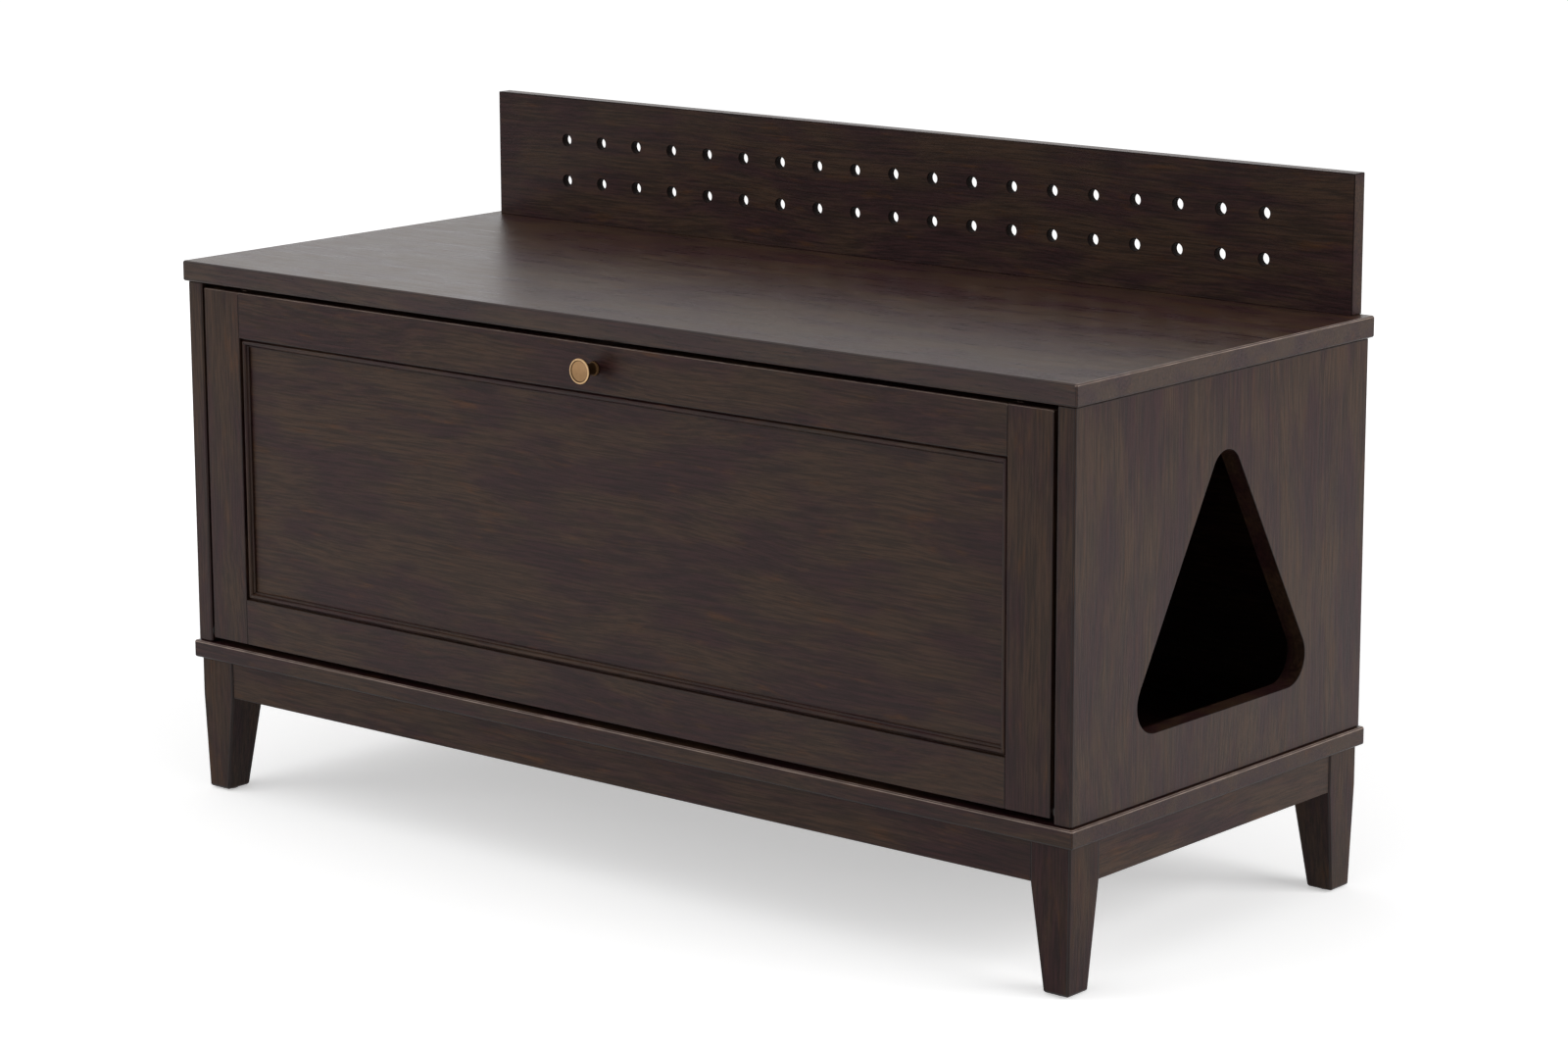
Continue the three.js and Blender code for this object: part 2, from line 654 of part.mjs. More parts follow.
function rail(z0, z1, grooveZ0, grooveZ1, ...tools) {
  const body = board(-sightHalf, sightHalf, 0, doorThick, z0, z1, frameEase);
  const tenon = block(-tenonHalf, tenonHalf, panelRecess, panelRecess + panelThick,
    z0 + frameEase, z1 - frameEase);
  const groove = block(-grooveHalf - 1, grooveHalf + 1, grooveY0, grooveY1, grooveZ0, grooveZ1);
  return cut(join(body, tenon), groove, ...tools);
}
add("door_top_rail", rail(sightTopZ, doorTopZ, sightTopZ - 1, sightTopZ + grooveDepth, knobHole,
  ...strikeScrewHoles()), darkWood);
add("door_bottom_rail", rail(doorBottomZ, sightBottomZ, sightBottomZ - grooveDepth,
  sightBottomZ + 1), darkWood);
const panelReach = grooveDepth - panelEdgePlay;
add("door_panel", block(-sightHalf - panelReach, sightHalf + panelReach, panelRecess,
  panelRecess + panelThick, sightBottomZ - panelReach, sightTopZ + panelReach), darkWood);

// Bead: its section is drawn as distance from the frame and depth behind the frame's face
function beadSection() {
  const crownX = 4.3;
  const crownRadius = 2.4;
  const section = [[beadWidth, panelRecess], [fitGap, panelRecess], [fitGap, 4.8], [1.5, 4.8]];
  for (let i = 0; i <= 6; i++) {
    const turn = Math.PI * (1 - i * 0.145);
    const depth = beadSetBack + crownRadius - crownRadius * Math.sin(turn);
    section.push([crownX + crownRadius * Math.cos(turn), depth]);
  }
  section.push([7.1, 5], [7.7, 5.5], [8.3, 5.8], [8.3, 5.3], [beadWidth, 5.3]);
  return section;
}

// Runs along +X from 0 to its length, with its outer edge on y = 0, and is mitred at both ends.
function bead(length) {
  const shape = polygon(beadSection().map(([u, v]) => [u, -v]));
  const geometry = bar(shape, length);
  const position = geometry.attributes.position;
  for (let i = 0; i < position.count; i++) {
    const inset = position.getX(i) + beadMitreGap;
    const along = position.getZ(i);
    position.setZ(i, along < length / 2 ? inset : length - inset);
  }
  return geometry;
}

// Places a bead by its length, the way in from the frame, and the corner that it starts from. It
// runs from there with the door's face on its right.
function placedBead(length, inwards, x, z) {
  const outOfDoor = new THREE.Vector3(0, -1, 0);
  const along = inwards.clone().cross(outOfDoor);
  const basis = new THREE.Matrix4().makeBasis(inwards, outOfDoor, along).setPosition(x, 0, z);
  return bead(length).applyMatrix4(basis);
}
const up = new THREE.Vector3(0, 0, 1);
const rightward = new THREE.Vector3(1, 0, 0);
const beadPlaces = [
  ["bottom", sightWidth, up, -sightHalf, sightBottomZ],
  ["top", sightWidth, up.clone().negate(), sightHalf, sightTopZ],
  ["left", sightHeight, rightward, -sightHalf, sightTopZ],
  ["right", sightHeight, rightward.clone().negate(), sightHalf, sightBottomZ],
];
beadPlaces.forEach(([edge, length, inwards, x, z]) => {
  add(`door_${edge}_bead`, placedBead(length, inwards, x, z), darkWood);
});

// Knob: a disc with a raised rim on a short neck and a round foot, screwed on from behind
const knobBore = knobScrewRadius + fitGap;
const discBack = knobReach - knobDiscThick;
const knobFace = knobReach - knobFaceDish;
const rimInner = knobRadius - knobRimWidth;
const knob = turned([
  [0, knobBoreDepth], [knobBore, knobBoreDepth], [knobBore, 0], // bore for the screw
  [knobFootRadius, 0], [knobFootRadius, knobFootThick - 0.8], // foot
  [knobFootRadius - 0.8, knobFootThick], [knobNeckRadius + 0.4, knobFootThick + 0.5],
  [knobNeckRadius, knobFootThick + 2.4], [knobNeckRadius, discBack - 4], // neck
  [knobNeckRadius + 0.8, discBack - 1.8], [knobNeckRadius + 3.2, discBack - 0.4],
  [knobRadius - 0.7, discBack], [knobRadius, discBack + 0.7], // disc
  [knobRadius, knobReach - 0.6], [knobRadius - 0.6, knobReach],
  [rimInner + 0.4, knobReach], [rimInner - 0.3, knobFace], [0, knobFace], // rim and dished face
], 36);
add("knob", forwards(knob, 0, 0, knobZ), brassFinish);

const knobScrewEnd = doorThick + knobBoreDepth - 2;
const knobScrew = turned([
  [0, -knobScrewHeadHeight], [knobScrewHeadRadius - 1, -knobScrewHeadHeight],
  [knobScrewHeadRadius, 0.8 - knobScrewHeadHeight], [knobScrewHeadRadius, 0],
  [knobScrewRadius, 0], [knobScrewRadius, knobScrewEnd - 1],
  [knobScrewRadius - 0.6, knobScrewEnd], [0, knobScrewEnd],
], 20);
add("knob_screw", forwards(knobScrew, 0, doorThick, knobZ), zincFinish);

// Strike plate on the door's back
const strikeHalf = strikeWidth / 2;
add("strike_plate", cut(
  block(-strikeHalf, strikeHalf, doorThick, strikeFaceY, strikeTopZ - strikeHeight, strikeTopZ),
  ...strikeScrewHoles(),
), zincFinish);
strikeScrewX.forEach(([end, x]) => {
  const screw = forwards(countersunkScrew(smallScrew), x, strikeFaceY, strikeZ);
  add("strike_screw_" + end, screw, zincFinish);
});

// Magnetic catch under the top, its magnet in a pocket at the front
const catchBack = catchFrontY + catchDepth;
const bodyHalf = catchBodyLength / 2;
const earHalf = catchLength / 2;
const magnetHalf = magnetLength / 2;
const magnetZ0 = strikeZ - magnetHeight / 2;
const earHalfDepth = catchEarDepth / 2;
add("catch_body", cut(
  join(
    board(-bodyHalf, bodyHalf, catchFrontY, catchBack, topBottom - catchHeight, topBottom, 0.6),
    block(-earHalf, earHalf, catchMiddle - earHalfDepth, catchMiddle + earHalfDepth,
      earBottom, topBottom),
  ),
  block(-magnetHalf - fitGap, magnetHalf + fitGap, catchFrontY - 1,
    catchFrontY + magnetSocketDepth + fitGap, magnetZ0 - fitGap, magnetZ0 + magnetHeight + fitGap),
  ...catchScrewHoles(),
), nylonFinish);
catchScrewX.forEach(([end, x]) => {
  const screw = upwards(countersunkScrew(catchScrew), x, catchMiddle, earBottom);
  add("catch_screw_" + end, screw, zincFinish);
});
add("catch_magnet", board(-magnetHalf, magnetHalf, magnetFaceY, catchFrontY + magnetSocketDepth,
  magnetZ0, magnetZ0 + magnetHeight, 0.3), magnetFinish);

// Stay: bracket on the door, rivet, slotted arm, and the stud in the left side
const bracketLow = rivetZ - stayBracketHeight / 2;
const bracketHigh = rivetZ + stayBracketHeight / 2;
const earTipY = rivetY + stayEarReach;
const ear = polygon([
  [doorThick, bracketLow],
  [bracketFaceY + stayBracketRoot, bracketLow],
  [earTipY - stayEarCorner, rivetZ - stayEarReach],
  [earTipY, rivetZ - stayEarReach + stayEarCorner],
  [earTipY, rivetZ + stayEarReach - stayEarCorner],
  [earTipY - stayEarCorner, rivetZ + stayEarReach],
  [bracketFaceY + stayBracketRoot, bracketHigh],
  [doorThick, bracketHigh],
]);
add("stay_bracket", cut(
  join(
    plateX(ear, earOuterX, stayBracketThick),
    block(earOuterX, earOuterX + stayBracketWidth, doorThick, bracketFaceY, bracketLow, bracketHigh),
  ),
  rodX(earOuterX - 1, earInnerX + 1, rivetY, rivetZ, stayRivetRadius + fitGap / 2, 24),
  ...bracketScrewHoles(),
), steelFinish);
bracketScrewZ.forEach(([level, z]) => {
  const screw = forwards(countersunkScrew(smallScrew), bracketX, bracketFaceY, z);
  add("stay_bracket_screw_" + level, screw, zincFinish);
});

// The rivet runs from a head outside the arm to a head inside the bracket's ear
const rivetGrip = earInnerX - armOuterX + 2 * runningPlay;
const rivet = turned([[0, -stayRivetHeadThick], [stayRivetHeadRadius - 0.8, -stayRivetHeadThick],
  [stayRivetHeadRadius, 0.6 - stayRivetHeadThick], [stayRivetHeadRadius, 0], [stayRivetRadius, 0],
  [stayRivetRadius, rivetGrip], [stayRivetHeadRadius, rivetGrip],
  [stayRivetHeadRadius, rivetGrip + stayRivetHeadThick - 0.6],
  [stayRivetHeadRadius - 0.8, rivetGrip + stayRivetHeadThick],
  [0, rivetGrip + stayRivetHeadThick]], 24);
add("stay_rivet", rightwards(rivet, armOuterX - runningPlay, rivetY, rivetZ), steelFinish);

const slotHalf = stayStudRadius + 0.2;
const armHalf = stayArmWidth / 2;
const slotStart = slotNear - staySlotEndPlay;
const slotEnd = slotFar + staySlotEndPlay;
function capsule(x0, x1, radius) {
  const shape = new THREE.Shape();
  shape.absarc(x1, 0, radius, -Math.PI / 2, Math.PI / 2, false);
  shape.absarc(x0, 0, radius, Math.PI / 2, 1.5 * Math.PI, false);
  return shape;
}
const armOutline = capsule(0, slotEnd + 1, armHalf);
const arm = cut(
  bar(armOutline, stayArmThick),
  bar(capsule(slotStart, slotEnd, slotHalf), stayArmThick + 2).translate(0, 0, -1),
  rodZ(-1, stayArmThick + 1, 0, 0, stayRivetRadius + runningPlay, 24),
);
const armTurn = new THREE.Matrix4().makeBasis(
  new THREE.Vector3(0, Math.cos(armTilt), Math.sin(armTilt)),
  new THREE.Vector3(0, -Math.sin(armTilt), Math.cos(armTilt)),
  new THREE.Vector3(1, 0, 0));
armTurn.setPosition(armOuterX, rivetY, rivetZ);
add("stay_arm", arm.applyMatrix4(armTurn), steelFinish);

// The stud's shoulder holds the arm off the side, and its head keeps the arm on
const shoulderEnd = stayArmStandOff - fitGap;
const postEnd = stayArmStandOff + stayArmThick + fitGap;
const stud = turned([[0, -stayStudShankLength], [stayStudShankRadius - 0.8, -stayStudShankLength],
  [stayStudShankRadius, 2 - stayStudShankLength], [stayStudShankRadius, 0],
  [stayStudFlangeRadius, 0], [stayStudFlangeRadius, stayStudFlangeThick - 0.5],
  [stayStudFlangeRadius - 0.5, stayStudFlangeThick], [stayStudShoulderRadius, stayStudFlangeThick],
  [stayStudShoulderRadius, shoulderEnd], [stayStudRadius, shoulderEnd],
  [stayStudRadius, postEnd], [stayStudHeadRadius, postEnd],
  [stayStudHeadRadius, postEnd + stayStudHeadThick - 0.8],
  [stayStudHeadRadius - 0.8, postEnd + stayStudHeadThick], [0, postEnd + stayStudHeadThick]], 24);
add("stay_stud", rightwards(stud, -sideInner, studY, studZ), steelFinish);

// The x and y origin goes to the middle of the outline, knob included
group.position.y = -(topBack - knobReach) / 2;

export default group;
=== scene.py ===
"""Cat litter box cabinet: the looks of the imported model, in metres, in the model's own frame."""

import math

import bpy
from mathutils import Matrix, Vector


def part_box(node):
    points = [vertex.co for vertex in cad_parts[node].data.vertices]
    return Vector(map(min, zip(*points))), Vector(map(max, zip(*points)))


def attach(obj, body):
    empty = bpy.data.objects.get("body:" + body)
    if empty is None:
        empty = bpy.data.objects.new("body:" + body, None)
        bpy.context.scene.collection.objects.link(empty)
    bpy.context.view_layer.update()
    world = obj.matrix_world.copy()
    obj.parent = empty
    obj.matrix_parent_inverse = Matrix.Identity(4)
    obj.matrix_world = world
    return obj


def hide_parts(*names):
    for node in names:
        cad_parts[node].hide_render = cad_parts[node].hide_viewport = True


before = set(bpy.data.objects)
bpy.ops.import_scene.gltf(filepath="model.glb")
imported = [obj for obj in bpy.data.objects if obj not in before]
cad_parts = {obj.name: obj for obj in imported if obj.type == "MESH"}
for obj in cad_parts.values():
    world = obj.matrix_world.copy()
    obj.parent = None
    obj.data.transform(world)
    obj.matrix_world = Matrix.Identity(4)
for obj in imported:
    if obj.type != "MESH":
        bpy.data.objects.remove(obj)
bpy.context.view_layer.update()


# ------------------------------------------------------------------ base
# Solid legs tapered on all four faces, with aprons between them and blocks glued into the corners
# behind. The wood is straight-grained, with a dark espresso stain under a satin lacquer.

board_arris = 0.0009
sharp_angle = math.radians(40)


class Wire:
    """One output of a shader node. Arithmetic on it adds Math nodes."""

    def __init__(self, finish, socket):
        self.finish = finish
        self.socket = socket

    def math(self, operation, first, second):
        return self.finish.node("ShaderNodeMath", {"operation": operation}, {0: first, 1: second})

    def __add__(self, other):
        return self.math("ADD", self, other)

    def __radd__(self, other):
        return self.math("ADD", other, self)

    def __sub__(self, other):
        return self.math("SUBTRACT", self, other)

    def __rsub__(self, other):
        return self.math("SUBTRACT", other, self)

    def __mul__(self, other):
        return self.math("MULTIPLY", self, other)

    def __rmul__(self, other):
        return self.math("MULTIPLY", other, self)


class Finish:
    """The nodes of a material, or of the world, under construction."""

    def __init__(self, name, kind="materials"):
        self.owner = getattr(bpy.data, kind).new(name)
        self.owner.use_nodes = True
        self.tree = self.owner.node_tree
        self.tree.nodes.clear()

    def node(self, kind, settings=None, values=None, output=0):
        """Adds a node: its settings first, then its sockets' values or wires."""
        node = self.tree.nodes.new(kind)
        for key, value in (settings or {}).items():
            setattr(node, key, value)
        for key, value in (values or {}).items():
            if isinstance(value, Wire):
                self.tree.links.new(value.socket, node.inputs[key])
            else:
                node.inputs[key].default_value = value
        return Wire(self, node.outputs[output]) if node.outputs else None

    def place(self):
        return self.node("ShaderNodeTexCoord", output="Object")

    def coordinate(self, at, axis):
        return self.node("ShaderNodeSeparateXYZ", values={0: at}, output=axis)

    def noise(self, at, per_metre, shift=(0, 0, 0), detail=2.0, roughness=0.5):
        """Noise with its own number of spots in a metre along each axis."""
        spread = self.node("ShaderNodeMapping", values={
            "Vector": at, "Location": shift, "Scale": per_metre})
        values = {"Vector": spread, "Scale": 1.0, "Detail": detail, "Roughness": roughness}
        return self.node("ShaderNodeTexNoise", values=values)

    def between(self, value, low, high):
        """0 where value is low or less, 1 where it is high or more, smooth in between."""
        settings = {"interpolation_type": "SMOOTHSTEP"}
        values = {"Value": value, "From Min": low, "From Max": high}
        return self.node("ShaderNodeMapRange", settings, values)

    def mix(self, factor, first, second):
        settings = {"data_type": "RGBA"}
        return self.node("ShaderNodeMix", settings, {0: factor, 6: first, 7: second}, output=2)

    def bump(self, height, strength, distance):
        values = {"Height": height, "Strength": strength, "Distance": distance}
        return self.node("ShaderNodeBump", values=values)

    def surface(self, **values):
        """Ends the material with a Principled shader. Spaces in socket names are written as _."""
        sockets = {key.replace("_", " "): value for key, value in values.items()}
        shader = self.node("ShaderNodeBsdfPrincipled", values=sockets)
        self.node("ShaderNodeOutputMaterial", values={"Surface": shader})
        return self.owner


def colour(red, green, blue):
    """A colour given as it looks on a screen, 0 to 255, as the shader's linear colour."""
    linear = [((c / 255 + 0.055) / 1.055) ** 2.4 if c > 10 else c / 255 / 12.92
              for c in (red, green, blue)]
    return (*linear, 1.0)


def along_axis(axis, along, across):
    """A vector with one value along the grain's axis and another across it."""
    return tuple(along if name == axis else across for name in "xyz")


def stained_wood(name, grain, shift, warmth=1.0, gloss=0.22, dullness=0.2, relief=0.0009):
    """Stained, lacquered wood with its grain along one axis: fine fibres, and olive and warmer
    patches. The shift gives each board a figure of its own."""
    deep = colour(43, 24, 25)
    olive = colour(55, 39, 29)
    warm = colour(66, 41, 23)
    lacquer_tint = (1.0, 0.93, 0.91, 1.0)
    wander_width = 0.03
    darkest_shade = 0.51
    fibre_shade = 0.92
    wood = Finish(name)
    at = wood.place()
    drift = wood.noise(at, along_axis(grain, along=3, across=9), shift, detail=1) - 0.5
    sideways = [axis for axis in "XYZ" if axis != grain.upper()]
    wander = wood.node("ShaderNodeCombineXYZ", values={axis: drift * wander_width for axis in sideways})
    bent = wood.node("ShaderNodeVectorMath", {"operation": "ADD"}, {0: at, 1: wander})
    fibres = wood.noise(bent, along_axis(grain, along=15, across=380), shift, detail=5, roughness=0.75)
    patches = wood.noise(bent, along_axis(grain, along=8, across=28), shift, detail=5, roughness=0.6)
    touches = wood.noise(bent, along_axis(grain, along=18, across=80), shift, detail=4, roughness=0.6)
    tint = wood.mix(wood.between(patches, 0.38, 0.62), deep, olive)
    tint = wood.mix(wood.between(touches, 0.56, 0.74) * (0.7 * warmth), tint, warm)
    streaks = wood.between(fibres, 0.36, 0.64)
    shade = darkest_shade + streaks * fibre_shade
    tone = wood.node("ShaderNodeVectorMath", {"operation": "SCALE"}, {0: tint, "Scale": shade})
    return wood.surface(
        Base_Color=tone,
        Roughness=dullness + streaks * 0.08 + patches * 0.1 + touches * 0.1,
        Specular_IOR_Level=gloss,
        Specular_Tint=lacquer_tint,
        Normal=wood.bump(fibres * 0.7 + patches, strength=0.4, distance=relief),
    )


def eased_arris(name, lit_from=None):
    """An arris, darker than the faces, with a painted highlight from a place on, right and up."""
    half_fade = 0.0002
    arris = Finish(name)
    at = arris.place()
    mottle = arris.noise(at, (45, 45, 45), detail=3)
    shade = arris.mix(mottle, colour(20, 12, 12), colour(34, 23, 21))
    if lit_from is not None:
        # Painted highlight: a paler colour right of and above lit_from, for the light these arrises catch.
        painted_highlight = arris.mix(arris.between(mottle, 0.35, 0.65), colour(112, 96, 88), colour(142, 124, 114))
        right = arris.between(arris.coordinate(at, "X"), lit_from.x - half_fade, lit_from.x + half_fade)
        above = arris.between(arris.coordinate(at, "Z"), lit_from.z - half_fade, lit_from.z + half_fade)
        shade = arris.mix(right * above, shade, painted_highlight)
    return arris.surface(
        Base_Color=shade,
        Roughness=0.3 + mottle * 0.12,
        Specular_IOR_Level=0.3,
    )


# Arrises that are darker than the faces, with no highlight.
dark_arris = eased_arris("dark_arris")


def round_edges(piece, radius, finish_slot=1):
    """Joins a piece's loose triangles and rounds its sharp edges, in the finish of one slot."""
    weld = piece.modifiers.new("weld", "WELD")
    weld.merge_threshold = 1e-5
    bevel = piece.modifiers.new("arris", "BEVEL")
    bevel.width = radius
    bevel.segments = 3
    bevel.limit_method = "ANGLE"
    bevel.angle_limit = sharp_angle
    bevel.harden_normals = True
    bevel.material = finish_slot


def dress(material, *nodes, arris=0.0, arris_finish=dark_arris):
    """Gives CAD nodes their finish and, where arris is a radius, rounded edges with their own."""
    for node in nodes:
        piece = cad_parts[node]
        piece.data.materials.clear()
        piece.data.materials.append(material)
        if arris:
            piece.data.materials.append(arris_finish)
            round_edges(piece, arris)


corners = [f"{end}_{row}" for end in ("left", "right") for row in ("front", "rear")]
leg_wood = stained_wood("wood_legs", "z", (4, 4, 2), gloss=0.15)
dress(leg_wood, *[corner + "_leg" for corner in corners], arris=board_arris)
dress(leg_wood, *[corner + "_corner_block" for corner in corners], arris=board_arris)
long_apron_wood = stained_wood("wood_long_aprons", "x", (9, 1, 5), gloss=0.17)
short_apron_wood = stained_wood("wood_short_aprons", "y", (2, 7, 8), gloss=0.17)
dress(long_apron_wood, "front_apron", "rear_apron", arris=board_arris)
dress(short_apron_wood, "left_apron", "right_apron", arris=board_arris)


# ------------------------------------------------------------------ moulded pieces
# Dark nylon, moulded with a fine matt grain. The glides are pressed into the feet and the pivots'
# bushes into the sides, and the body of the magnetic catch is screwed up under the top.


def moulded_nylon(name):
    nylon = Finish(name)
    grain = nylon.noise(nylon.place(), (2200, 2200, 2200), detail=2)
    return nylon.surface(
        Base_Color=nylon.mix(grain, colour(34, 31, 30), colour(48, 44, 42)),
        Roughness=0.5 + grain * 0.15,
        Normal=nylon.bump(grain, strength=0.25, distance=0.0001),
    )


dark_nylon = moulded_nylon("dark_nylon")
dress(dark_nylon, *[corner + "_glide" for corner in corners])
dress(dark_nylon, "left_pivot_bush", "right_pivot_bush", "catch_body")


# ------------------------------------------------------------------ case
# Base panel and sides of the same stained board, screwed together from below. The cat's entry is cut
# through the right side, two cleats are glued under the top, and a thin panel closes the back.

arris_band = 0.0025


def lit_arris(node, right_only=False):
    """The arris finish of a board whose upper arrises, or only the right one, catch the light, which is
    painted on them as a highlight.
    """
    low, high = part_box(node)
    left_of_board = low.x - 1
    start_x = high.x - arris_band if right_only else left_of_board
    return eased_arris("arris_" + node, Vector((start_x, 0, high.z - arris_band)))


dress(stained_wood("wood_base", "x", (1, 8, 2)), "base_panel",
      arris=board_arris, arris_finish=lit_arris("base_panel"))
dress(stained_wood("wood_left_side", "z", (5, 1, 6)), "left_side_panel", arris=board_arris)
dress(stained_wood("wood_right_side", "z", (2, 9, 3), warmth=0.5), "right_side_panel", arris=board_arris)
dress(stained_wood("wood_cleats", "y", (8, 3, 1)), "left_top_cleat", "right_top_cleat", arris=board_arris)
dress(stained_wood("wood_back", "x", (6, 6, 7)), "back_panel", arris=board_arris)


# ------------------------------------------------------------------ top
# One thick board with its grain along its length. It lies on the sides and stands out past them by
# a few millimetres, and its lacquer shines more than that of the other boards.

top_wood = stained_wood("wood_top", "x", (3, 5, 9), gloss=0.36, dullness=0.175, relief=0.0012)
dress(top_wood, "top_panel", arris=board_arris, arris_finish=lit_arris("top_panel", right_only=True))


# ------------------------------------------------------------------ gallery board
# A board on edge along the back of the top, screwed on from below. Two rows of round holes are
# drilled through it, and a shallow pocket is milled behind them.

gallery_low, gallery_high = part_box("gallery_board")
gallery_sizes = {
    "Length": gallery_high.x - gallery_low.x,
    "Thickness": gallery_high.y - gallery_low.y,
    "Height": gallery_high.z - gallery_low.z,
    "Columns": 19,
    "Pitch": 0.0531,
    "Row Spacing": 0.0465,
    "Lower Row": 0.047,
    "Hole Radius": 0.00625,
    "Web": 0.0095,
    "Pocket Margin": 0.016,
}


def drilled_wood(name):
    """The walls of the drilled holes: end grain that drank the stain, without lacquer."""
    wall = Finish(name)
    grain = wall.noise(wall.place(), (120, 900, 900), detail=2)
    return wall.surface(
        Base_Color=wall.mix(grain, colour(16, 10, 9), colour(30, 19, 16)),
        Roughness=0.75 + grain * 0.1,
        Specular_IOR_Level=0.15,
    )


class Net:
    """A geometry node tree under construction, with named inputs."""

    def __init__(self, name, sizes, materials=("Material",), takes_geometry=False):
        self.tree = bpy.data.node_groups.new(name, "GeometryNodeTree")
        face = self.tree.interface
        face.new_socket("Geometry", in_out="OUTPUT", socket_type="NodeSocketGeometry")
        if takes_geometry:
            face.new_socket("Geometry", in_out="INPUT", socket_type="NodeSocketGeometry")
        for label, size in sizes.items():
            kind = "NodeSocketInt" if isinstance(size, int) else "NodeSocketFloat"
            face.new_socket(label, in_out="INPUT", socket_type=kind)
        for label in materials:
            face.new_socket(label, in_out="INPUT", socket_type="NodeSocketMaterial")
        self.inputs = self.tree.nodes.new("NodeGroupInput")

    def size(self, label):
        return self.inputs.outputs[label]

    def node(self, kind, settings=None, values=None, output=0):
        """Adds a node: its settings first, then its sockets' values or links, or a list of links."""
        node = self.tree.nodes.new(kind)
        for key, value in (settings or {}).items():
            setattr(node, key, value)
        for key, value in (values or {}).items():
            for one in value if isinstance(value, list) else [value]:
                if isinstance(one, bpy.types.NodeSocket):
                    self.tree.links.new(one, node.inputs[key])
                else:
                    node.inputs[key].default_value = one
        return node.outputs[output]

    def math(self, operation, first, second=0.0):
        return self.node("ShaderNodeMath", {"operation": operation}, {0: first, 1: second})

    def vector(self, x=0.0, y=0.0, z=0.0):
        return self.node("ShaderNodeCombineXYZ", values={"X": x, "Y": y, "Z": z})

    def coordinate(self, vector, axis):
        return self.node("ShaderNodeSeparateXYZ", values={0: vector}, output=axis)

    def moved(self, geometry, place=(0, 0, 0), turn=(0, 0, 0)):
        values = {"Geometry": geometry, "Translation": place, "Rotation": turn}
        return self.node("GeometryNodeTransform", values=values)

    def joined(self, *geometries):
        return self.node("GeometryNodeJoinGeometry", values={"Geometry": list(geometries)})

    def copies(self, points, piece, **values):
        """A copy of a piece on each point."""
        return self.node("GeometryNodeInstanceOnPoints", values={
            "Points": points, "Instance": piece, **values})

    def cut(self, block, *tools):
        return self.node("GeometryNodeMeshBoolean", {"operation": "DIFFERENCE", "solver": "EXACT"}, {
            "Mesh 1": block, "Mesh 2": list(tools)})

    def realized(self, geometry):
        return self.node("GeometryNodeRealizeInstances", values={"Geometry": geometry})

    def painted(self, geometry, label, where=True):
        values = {"Geometry": geometry, "Material": self.size(label), "Selection": where}
        return self.node("GeometryNodeSetMaterial", values=values)

    def end(self, geometry):
        output = self.tree.nodes.new("NodeGroupOutput")
        self.tree.links.new(geometry, output.inputs[0])


